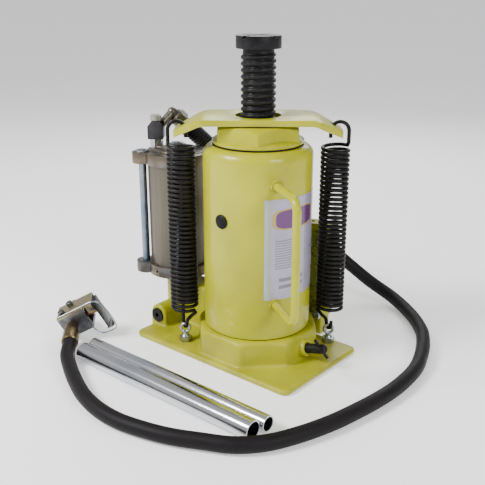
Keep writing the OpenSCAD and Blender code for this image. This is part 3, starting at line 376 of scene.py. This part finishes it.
labelFinish = labelFilm("labelFilm", {
    "start": -44.0, "end": 35.0, "low": 0.077, "high": 0.180,
    "bandMiddle": (0.47, 0.80), "bandHalf": (0.37, 0.105),
    "fineBars": (40.0, 0.45, 0.3, 0.6, 0.14, 0.55),  # rows, gap share, low, high, left, right
    "heavyBars": (14.0, 0.5, 0.07, 0.22, 0.2, 0.6),
    "silver": (0.40, 0.38, 0.48), "silverDark": (0.28, 0.265, 0.35), "edge": (0.34, 0.44, 0.60),
    "edgeGreen": (0.42, 0.47, 0.26),
    "band": (0.10, 0.022, 0.13), "bandEdge": (0.50, 0.36, 0.05), "ink": (0.025, 0.022, 0.04)})
leverFinish = brightMetal("leverPlate", {
    "colour": (0.05, 0.05, 0.054), "cool": (0.03, 0.036, 0.045), "warm": (0.13, 0.115, 0.095),
    "shade": (0.012, 0.012, 0.013),
    "cloudScale": 130.0, "lines": (120, 120, 120), "streak": 0.6, "scoring": 0.0001, "grainScale": 520.0,
    "grain": 0.0003, "roughness": 0.32, "metallic": 0.9})
print("finishes made")


def clearSelection():
    bpy.ops.object.select_all(action="DESELECT")


def makeActive(piece):
    clearSelection()
    piece.select_set(True)
    bpy.context.view_layer.objects.active = piece


def addModifier(piece, kind, **settings):
    makeActive(piece)
    modifier = piece.modifiers.new(kind.lower(), kind)
    for key, value in settings.items():
        setattr(modifier, key, value)
    bpy.ops.object.modifier_apply(modifier=modifier.name)


def placeInMesh(piece):
    makeActive(piece)
    bpy.ops.object.transform_apply(location=True, rotation=True, scale=True)


def settle(piece, name, material, body, replaced=(), smooth=35):
    makeActive(piece)
    piece.name = piece.data.name = name
    piece.data.materials.clear()
    piece.data.materials.append(material)
    if smooth:
        bpy.ops.object.shade_smooth_by_angle(angle=math.radians(smooth))
    if body:
        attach(piece, body)
    if replaced:
        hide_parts(*replaced)
    return piece


# a separate, merged copy of a CAD node, to be softened by hand
def copyOf(node):
    makeActive(nodes[node])
    bpy.ops.object.duplicate()
    piece = bpy.context.object
    piece.parent = None
    for key in list(piece.keys()):
        del piece[key]
    bpy.ops.object.mode_set(mode="EDIT")
    bpy.ops.mesh.select_all(action="SELECT")
    bpy.ops.mesh.remove_doubles(threshold=0.00001)
    bpy.ops.mesh.dissolve_limited(angle_limit=math.radians(0.6))
    bpy.ops.object.mode_set(mode="OBJECT")
    return piece


# round wire through points, with its corners already smooth
def wireThrough(points, radius, sides=3, cyclic=False):
    clearSelection()
    bpy.ops.curve.primitive_nurbs_path_add()
    path = bpy.context.object
    spline = path.data.splines[0]
    path.data.splines.remove(spline)
    spline = path.data.splines.new("POLY")
    spline.points.add(len(points) - 1)
    for target, point in zip(spline.points, points):
        target.co = (*point, 1)
    spline.use_cyclic_u = cyclic
    path.data.dimensions = "3D"
    path.data.bevel_depth = radius
    path.data.bevel_resolution = sides
    path.data.use_fill_caps = True
    bpy.ops.object.convert(target="MESH")
    return bpy.context.object


def smoothed(points, steps):
    out = []
    last = len(points) - 1
    for i in range(last):
        a, b, c, d = (Vector(points[max(0, min(last, i + k))]) for k in (-1, 0, 1, 2))
        for k in range(steps):
            t = k / steps
            square, cube = (2 * a - 5 * b + 4 * c - d) * t * t, (3 * b - a - 3 * c + d) * t ** 3
            out.append(0.5 * (2 * b + (c - a) * t + square + cube))
    return out + [Vector(points[last])]


# the air hose, along the same route as its solid
hoseValues = {
    "radius": 0.0075,
    "route": [
        (-0.101, 0.079, 0.168), (-0.082, 0.104, 0.141), (-0.060, 0.130, 0.112), (-0.036, 0.154, 0.082),
        (-0.007, 0.174, 0.052), (0.026, 0.187, 0.026), (0.060, 0.188, 0.012), (0.097, 0.166, 0.0076),
        (0.126, 0.136, 0.0076), (0.142, 0.110, 0.0076), (0.154, 0.083, 0.0076), (0.163, 0.056, 0.0076),
        (0.167, 0.030, 0.0076), (0.168, 0.002, 0.0076), (0.166, -0.025, 0.0076), (0.162, -0.052, 0.0076),
        (0.155, -0.086, 0.0076), (0.144, -0.119, 0.0076), (0.130, -0.147, 0.0076), (0.111, -0.167, 0.0076),
        (0.087, -0.180, 0.0076), (0.062, -0.192, 0.0076), (0.036, -0.200, 0.0076), (0.008, -0.205, 0.0076),
        (-0.020, -0.204, 0.0076), (-0.049, -0.197, 0.0076), (-0.079, -0.184, 0.0076), (-0.104, -0.171, 0.0085),
        (-0.122, -0.160, 0.011)],
    "jackEnd": (-0.137, 0.017, 0.238),
    "jackHeading": 60, "jackFall": 44, "jackStart": 0.036, "jackStraight": 0.066,
    "valvePlace": (-0.160, -0.123, 0.0185), "valveHeading": 136, "valveRise": 8, "valveReach": 0.032}


def alongLine(heading, rise):
    h, r = math.radians(heading), math.radians(rise)
    return Vector((math.cos(h) * math.cos(r), math.sin(h) * math.cos(r), math.sin(r)))


jackLine = alongLine(hoseValues["jackHeading"], -hoseValues["jackFall"])
valveLine = alongLine(hoseValues["valveHeading"], hoseValues["valveRise"])
hoseStart = Vector(hoseValues["jackEnd"]) + hoseValues["jackStart"] * jackLine
hoseBend = Vector(hoseValues["jackEnd"]) + hoseValues["jackStraight"] * jackLine
hoseEnd = Vector(hoseValues["valvePlace"]) - hoseValues["valveReach"] * valveLine
hosePoints = smoothed([hoseStart, hoseBend, *hoseValues["route"], hoseEnd - 0.006 * valveLine, hoseEnd], 8)
hoseLength = sum((b - a).length for a, b in zip(hosePoints, hosePoints[1:]))
hose = wireThrough(hosePoints, hoseValues["radius"], 6)
settle(hose, "airHose", hoseFinish, "base", ["air_hose"])
print("hose laid", round(hoseLength, 3))


# return springs: one wire each, from the hook over the yoke, down the coil, to the hook in the eye bolt
springValues = {
    "reach": 0.0773, "turn": 39, "wire": 0.00193, "outside": 0.015, "low": 0.045, "high": 0.2215, "pitch": 0.0049,
    "hookX": 0.0037, "hookZ": 0.2365, "hookRadius": 0.009, "hookEnd": 0.2295,
    "eyeHookX": 0.0022, "eyeHookY": 0.0036, "eyeHookLow": 0.0222, "perTurn": 20}


def springPath(side, lean, freeEnd):
    v = springValues
    mean = v["outside"] - v["wire"]
    outer = 0 if side > 0 else 180
    turns = (v["high"] - v["low"]) / v["pitch"]
    turns = math.floor(turns) + 0.5 - 0.06
    x, z = v["hookX"], v["hookZ"]
    top = [(x - v["hookRadius"], 0, v["hookEnd"]), (x - v["hookRadius"], 0, v["hookEnd"] + 0.003)]
    top += [(x - v["hookRadius"] * math.cos(math.radians(a)), 0, z + v["hookRadius"] * math.sin(math.radians(a)))
            for a in range(0, 181, 15)]
    top += [(x + v["hookRadius"], 0, v["high"] + 0.007), (x + v["hookRadius"] + 0.0001, 0, v["high"] + 0.0038)]
    top = [(side * px, py, pz) for px, py, pz in top]
    coil = []
    count = int(turns * v["perTurn"])
    for i in range(1, count + 1):
        part = i / v["perTurn"]
        a = math.radians(outer + 360 * part)
        coil.append((mean * math.cos(a), mean * math.sin(a), v["high"] - (v["high"] - v["low"]) * part / turns))
    end = coil[-1]
    hookX, hookY, low = v["eyeHookX"], lean * v["eyeHookY"], v["eyeHookLow"]
    bottom = [(-0.0118, end[1] * 0.6 + hookY * 0.2, v["low"] - 0.0035), (-0.0075, hookY * 0.7, v["low"] - 0.0085),
              (-0.0035, hookY, v["low"] - 0.0125), (-hookX, hookY, 0.0285), (-hookX * 0.75, hookY * 0.75, 0.0240),
              (0, 0, low), (hookX * 0.75, -hookY * 0.75, 0.0240), (hookX, -hookY, 0.0285), (hookX, -hookY, freeEnd)]
    bottom = smoothed([(side * px, py, pz) for px, py, pz in bottom], 4)
    turned = Matrix.Rotation(math.radians(v["turn"]), 3, "Z")
    local = [Vector(p) for p in top] + [Vector(p) for p in coil] + bottom
    return [turned @ Vector((side * v["reach"] + p.x, p.y, p.z)) for p in local]


for name, node, side, lean, freeEnd in (("springLeft", "return_spring_left", -1, -1, 0.046),
                                        ("springRight", "return_spring_right", 1, 1, 0.0315)):
    spring = wireThrough(springPath(side, lean, freeEnd), springValues["wire"], 2)
    settle(spring, name, springFinish, None, [node], smooth=60)
    a = math.radians(springValues["turn"])
    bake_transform(spring)
innerSpring = copyOf("motor_spring")
settle(innerSpring, "innerSpring", innerSpringFinish, None, ["motor_spring"], smooth=60)
low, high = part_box("motor_spring")
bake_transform(innerSpring)
print("springs wound")

# extension screw: rounded thread on one helix, and a saddle with a cross cut in its top
screwValues = {
    "radius": 0.01725, "root": 0.0152, "tail": 0.012, "runOut": 0.003, "pitch": 0.0062,
    "low": 0.192, "threadLow": 0.197, "neck": 0.3125, "saddleLow": 0.316,
    "saddleRadius": 0.022, "saddleHeight": 0.012, "slot": 0.004, "slotDepth": 0.0025, "around": 72, "up": 200}


def threadRadius(angle, height):
    v = screwValues
    if height < v["threadLow"] - 0.001:
        return v["tail"]
    wave = 0.5 + 0.5 * math.cos(2 * math.pi * (height - v["low"]) / v["pitch"] - angle)
    below = min(1, max(0, (height - v["threadLow"]) / v["runOut"]))
    above = min(1, max(0, (v["neck"] - height) / v["runOut"]))
    rise = below * above
    return v["root"] + (v["radius"] - v["root"]) * rise * min(1, 1.25 * wave ** 0.8)


clearSelection()
bpy.ops.mesh.primitive_grid_add(x_subdivisions=screwValues["around"], y_subdivisions=screwValues["up"], size=1)
thread = bpy.context.object
for vertex in thread.data.vertices:
    angle = (vertex.co.x + 0.5) * 2 * math.pi
    height = screwValues["low"] + (vertex.co.y + 0.5) * (screwValues["saddleLow"] + 0.001 - screwValues["low"])
    radius = threadRadius(angle, height)
    vertex.co = (radius * math.cos(angle), radius * math.sin(angle), height)
makeActive(thread)
bpy.ops.object.mode_set(mode="EDIT")
bpy.ops.mesh.select_all(action="SELECT")
bpy.ops.mesh.remove_doubles(threshold=0.00001)
bpy.ops.mesh.select_all(action="DESELECT")
bpy.ops.mesh.select_non_manifold(extend=False)
bpy.ops.mesh.edge_face_add()
bpy.ops.mesh.select_all(action="SELECT")
bpy.ops.mesh.normals_make_consistent(inside=False)
bpy.ops.object.mode_set(mode="OBJECT")

saddleMiddle = screwValues["saddleLow"] + screwValues["saddleHeight"] / 2
saddleTop = screwValues["saddleLow"] + screwValues["saddleHeight"]
clearSelection()
bpy.ops.mesh.primitive_cylinder_add(vertices=96, radius=screwValues["saddleRadius"],
                                    depth=screwValues["saddleHeight"], location=(0, 0, saddleMiddle))
saddle = bpy.context.object
placeInMesh(saddle)
for turn in (0, 90):
    clearSelection()
    bpy.ops.mesh.primitive_cube_add(size=1, location=(0, 0, saddleTop))
    cutter = bpy.context.object
    cutter.scale = (0.06, screwValues["slot"], 2 * screwValues["slotDepth"])
    cutter.rotation_euler = (0, 0, math.radians(turn))
    placeInMesh(cutter)
    addModifier(saddle, "BOOLEAN", operation="DIFFERENCE", object=cutter, solver="EXACT")
    bpy.data.objects.remove(cutter)
addModifier(saddle, "BEVEL", width=0.0009, segments=3, limit_method="ANGLE", angle_limit=math.radians(40))
makeActive(thread)
saddle.select_set(True)
bpy.ops.object.join()
settle(thread, "extensionScrew", oxideFinish, "extension_screw", ["extension_screw"], smooth=40)
print("screw cut")

# base casting, softened as sand casting leaves it
castingValues = {"voxel": 0.0013, "rounds": 22, "bore": 0.0044, "boreDepth": 0.09, "boreBelow": 0.033}
casting = copyOf("base_casting")
addModifier(casting, "REMESH", mode="VOXEL", voxel_size=castingValues["voxel"])
addModifier(casting, "SMOOTH", factor=0.5, iterations=castingValues["rounds"])
low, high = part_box("air_plunger")
clearSelection()
bpy.ops.mesh.primitive_cylinder_add(vertices=48, radius=castingValues["bore"], depth=castingValues["boreDepth"],
                                    location=((low[0] + high[0]) / 2, 0,
                                              low[2] + castingValues["boreDepth"] / 2 - castingValues["boreBelow"]))
bore = bpy.context.object
placeInMesh(bore)
addModifier(casting, "BOOLEAN", operation="DIFFERENCE", object=bore, solver="EXACT")
bpy.data.objects.remove(bore)
settle(casting, "baseCasting", castPaint, "base", ["base_casting"], smooth=0)
makeActive(casting)
bpy.ops.object.shade_smooth()
print("casting softened")

# parts that keep their CAD shape but get broken edges
brokenEdges = {
    "yoke_plate": ("yokePlate", platePaint, "ram_assembly", "yellow_paint", 0.0007),
    "head_nut": ("headNut", tankPaint, "base", "yellow_paint", 0.0009),
    "motor_lower_plate": ("motorLowerPlate", plateFinish, "base", "cast_aluminium", 0.0009),
    "motor_cap": ("motorCap", plateFinish, "base", "cast_aluminium", 0.0009),
    "swivel_block": ("swivelBlock", blockFinish, "base", "dark_block", 0.0012),
    "valve_body": ("valveBody", bodyFinish, "base", "zinc_plate", 0.0012),
    "valve_cover": ("valveCover", yellowZincFinish, "base", "yellow_zinc", 0.0003),
    "valve_lever": ("valveLever", leverFinish, "air_lever", "zinc_plate", 0.0004),
    "handle_socket": ("handleSocket", castPaint, "pump_socket", "yellow_paint", 0.0008),
}
# hand valve, in its own frame: along the hose, across to the lever, and up
valveValues = {
    "place": (-0.160, -0.123, 0.0185), "heading": 136, "rise": 8, "roll": -27,
    "wire": 0.0009,
    "guard": [
        (0.0012, 0.008, 0.0163), (0.0012, -0.018, 0.0163), (0.0010, -0.0330, 0.0163), (0.0014, -0.0388, 0.0115),
        (0.0028, -0.0414, 0.0000), (0.0045, -0.0412, -0.0130), (0.0060, -0.0400, -0.0230),
        (0.0070, -0.0375, -0.0284), (0.0080, -0.0300, -0.0300), (0.0085, -0.0215, -0.0283),
        (0.0090, -0.0160, -0.0210), (0.0090, -0.0150, -0.0115)],
    "knobs": [(0.0075, 0.0045), (0.0190, -0.0045)], "knobRadius": 0.0038, "knobHeight": 0.0048, "knobTeeth": 18,
    "top": 0.0151, "pocket": (0.019, 0.0125, 0.019), "pocketMiddle": (0.013, -0.0175, 0.0005),
    "leverTip": -0.0249, "leverRound": 0.0055}
valvePlace = (Matrix.Translation(valveValues["place"])
              @ Matrix.Rotation(math.radians(valveValues["heading"]), 4, "Z")
              @ Matrix.Rotation(-math.radians(valveValues["rise"]), 4, "Y")
              @ Matrix.Rotation(math.radians(valveValues["roll"]), 4, "X"))
for node, (name, material, body, slot, width) in brokenEdges.items():
    piece = copyOf(node)
    if node == "valve_body":  # milled pocket that the plunger crosses
        clearSelection()
        bpy.ops.mesh.primitive_cube_add(size=1)
        pocket = bpy.context.object
        pocket.scale = valveValues["pocket"]
        pocket.location = valveValues["pocketMiddle"]
        placeInMesh(pocket)
        pocket.data.transform(valvePlace)
        addModifier(piece, "BOOLEAN", operation="DIFFERENCE", object=pocket, solver="EXACT")
        bpy.data.objects.remove(pocket)
    if node == "valve_lever":  # rounded free end
        makeActive(piece)
        toValve = valvePlace.inverted()
        bpy.ops.object.mode_set(mode="EDIT")
        bpy.ops.mesh.select_all(action="DESELECT")
        bpy.ops.object.mode_set(mode="OBJECT")
        for edge in piece.data.edges:
            ends = [toValve @ piece.data.vertices[i].co for i in edge.vertices]
            across = ends[0] - ends[1]
            edge.select = max(p.z for p in ends) < valveValues["leverTip"] and abs(across.y) > 5 * abs(across.x)
        bpy.ops.object.mode_set(mode="EDIT")
        bpy.ops.mesh.select_mode(type="EDGE")
        bpy.ops.mesh.bevel(offset=valveValues["leverRound"], segments=6)
        bpy.ops.object.mode_set(mode="OBJECT")
    addModifier(piece, "BEVEL", width=width, segments=2, limit_method="ANGLE", angle_limit=math.radians(40),
                harden_normals=False)
    settle(piece, name, material, body, [node], smooth=32)
print("edges broken")

# weld beads where the carry handle meets the tank
weldValues = {
    "turn": -32, "tank": 0.0555, "heights": (0.072, 0.193), "ring": 0.0048, "bead": 0.0016, "ripple": 0.00035,
    "waves": 22}
welds = []
for height in weldValues["heights"]:
    a = math.radians(weldValues["turn"])
    clearSelection()
    bpy.ops.mesh.primitive_torus_add(major_segments=88, minor_segments=10, major_radius=weldValues["ring"],
                                     minor_radius=weldValues["bead"])
    weld = bpy.context.object
    for vertex in weld.data.vertices:
        around = math.atan2(vertex.co.y, vertex.co.x)
        swell = 1 + weldValues["ripple"] / weldValues["ring"] * math.sin(weldValues["waves"] * around)
        drop = (weldValues["ring"] * math.sin(around)) ** 2 / (2 * weldValues["tank"])
        vertex.co = (vertex.co.x * swell, vertex.co.y * swell, vertex.co.z - drop)
    weld.rotation_euler = (math.radians(90), 0, a + math.radians(90))
    weld.location = (weldValues["tank"] * math.cos(a), weldValues["tank"] * math.sin(a), height)
    placeInMesh(weld)
    welds.append(weld)
clearSelection()
for weld in welds:
    weld.select_set(True)
bpy.context.view_layer.objects.active = welds[0]
bpy.ops.object.join()
settle(welds[0], "handleWelds", castPaint, "base", smooth=60)
print("handle welded")

# hand valve: a bent wire guard round the lever, and knurled adjusters
guard = wireThrough([valvePlace @ p for p in smoothed(valveValues["guard"], 6)], valveValues["wire"], 2)
settle(guard, "valveGuard", zincFinish, "base", smooth=60)

knobs = []
for x, y in valveValues["knobs"]:
    clearSelection()
    bpy.ops.mesh.primitive_cylinder_add(vertices=2 * valveValues["knobTeeth"], radius=valveValues["knobRadius"],
                                        depth=valveValues["knobHeight"],
                                        location=(x, y, valveValues["top"] + valveValues["knobHeight"] / 2))
    knob = bpy.context.object
    for i, vertex in enumerate(knob.data.vertices):
        if (i // 2) % 2:
            vertex.co.x *= 0.92
            vertex.co.y *= 0.92
    placeInMesh(knob)
    addModifier(knob, "BEVEL", width=0.0009, segments=3, limit_method="ANGLE", angle_limit=math.radians(60))
    knob.data.transform(valvePlace)
    knobs.append(knob)
clearSelection()
for knob in knobs:
    knob.select_set(True)
bpy.context.view_layer.objects.active = knobs[0]
bpy.ops.object.join()
settle(knobs[0], "valveAdjusters", bodyFinish, "base", ["valve_screws"], smooth=40)
print("valve detailed")

# finishes on the CAD nodes that stay
nodeFinishes = {
    "passage_plug": oxideFinish, "cylinder_gasket": copperFinish, "pressure_cylinder": groundFinish,
    "tank_seal": sealFinish, "oil_tank": tankPaint, "head_o_ring": sealFinish, "ram_wiper": sealFinish,
    "filler_plug": sealFinish, "carry_handle": tankPaint, "label": labelFinish,
    "eye_bolt_left": zincFinish, "eye_bolt_right": zincFinish, "eye_bolt_nuts": zincFinish,
    "ram": groundFinish, "ram_piston": groundFinish, "piston_seal": sealFinish,
    "screw_stop_ring": groundFinish, "release_screw": oxideFinish, "release_pin": oxideFinish,
    "pump_sleeve": zincFinish, "motor_barrel": barrelFinish, "motor_tie_rods": rodFinish,
    "motor_tie_nuts": zincFinish, "motor_piston": groundFinish, "motor_piston_seal": sealFinish,
    "air_plunger": groundFinish, "inlet_neck": zincFinish,
    "swivel_plug": plugFinish, "hose_elbow": nutFinish, "hose_ferrule_jack": oxideFinish, "head_seal": sealFinish,
    "hand_packing_nut": oxideFinish, "hand_plunger": groundFinish, "plunger_pin": groundFinish,
    "pump_link": zincFinish, "link_pins": zincFinish, "check_balls": groundFinish,
    "hose_ferrule_valve": brassFinish, "valve_inlet": zincFinish,
    "valve_lever_pin": zincFinish, "valve_plunger": copperFinish, "valve_spring": innerSpringFinish,
    "handle_outer_tube": tubeFinish, "handle_inner_tube": tubeFinish,
}
for node, material in nodeFinishes.items():
    mesh = nodes[node].data
    mesh.materials.clear()
    mesh.materials.append(material)
print("nodes finished")

# plain floor and soft studio light
studioValues = {
    "floor": (0.93, 0.93, 0.93), "floorShade": (0.91, 0.91, 0.91),
    "floorGlow": 0.35, "floorSize": 60, "world": 0.6}
clearSelection()
bpy.ops.mesh.primitive_plane_add(size=studioValues["floorSize"], location=(0, 0, -0.0002))
floor = bpy.context.object
floor.name = "floor"
floorFinish = Finish("floorPaper")
floor.data.materials.append(floorFinish.done(
    colour=floorFinish.mix(floorFinish.noise(3.0, 2), studioValues["floor"], studioValues["floorShade"]),
    roughness=0.8, specular=0.2))
floorSockets = floorFinish.surface.inputs
floorFinish.feed(floorSockets["Emission Color"], (1.0, 1.0, 1.0))
floorFinish.feed(floorSockets["Emission Strength"], studioValues["floorGlow"])

world = bpy.data.worlds.new("studio")
bpy.context.scene.world = world
world.use_nodes = True
world.node_tree.nodes["Background"].inputs["Color"].default_value = (1, 1, 1, 1)
world.node_tree.nodes["Background"].inputs["Strength"].default_value = studioValues["world"]

lampValues = {
    "key": {"place": (-0.55, -1.0, 1.1), "aim": (0, 0, 0.15), "size": 0.45, "power": 34},
    "side": {"place": (1.1, -0.25, 0.7), "aim": (0, 0, 0.15), "size": 0.4, "power": 8},
    "back": {"place": (-0.5, 0.9, 0.9), "aim": (0, 0, 0.2), "size": 0.8, "power": 9},
}
for name, values in lampValues.items():
    bpy.ops.object.light_add(type="AREA", location=values["place"])
    lamp = bpy.context.object
    lamp.name = name + "Lamp"
    lamp.data.size = values["size"]
    lamp.data.energy = values["power"]
    lamp.rotation_euler = (Vector(values["aim"]) - Vector(values["place"])).to_track_quat("-Z", "Y").to_euler()
print("studio lit")
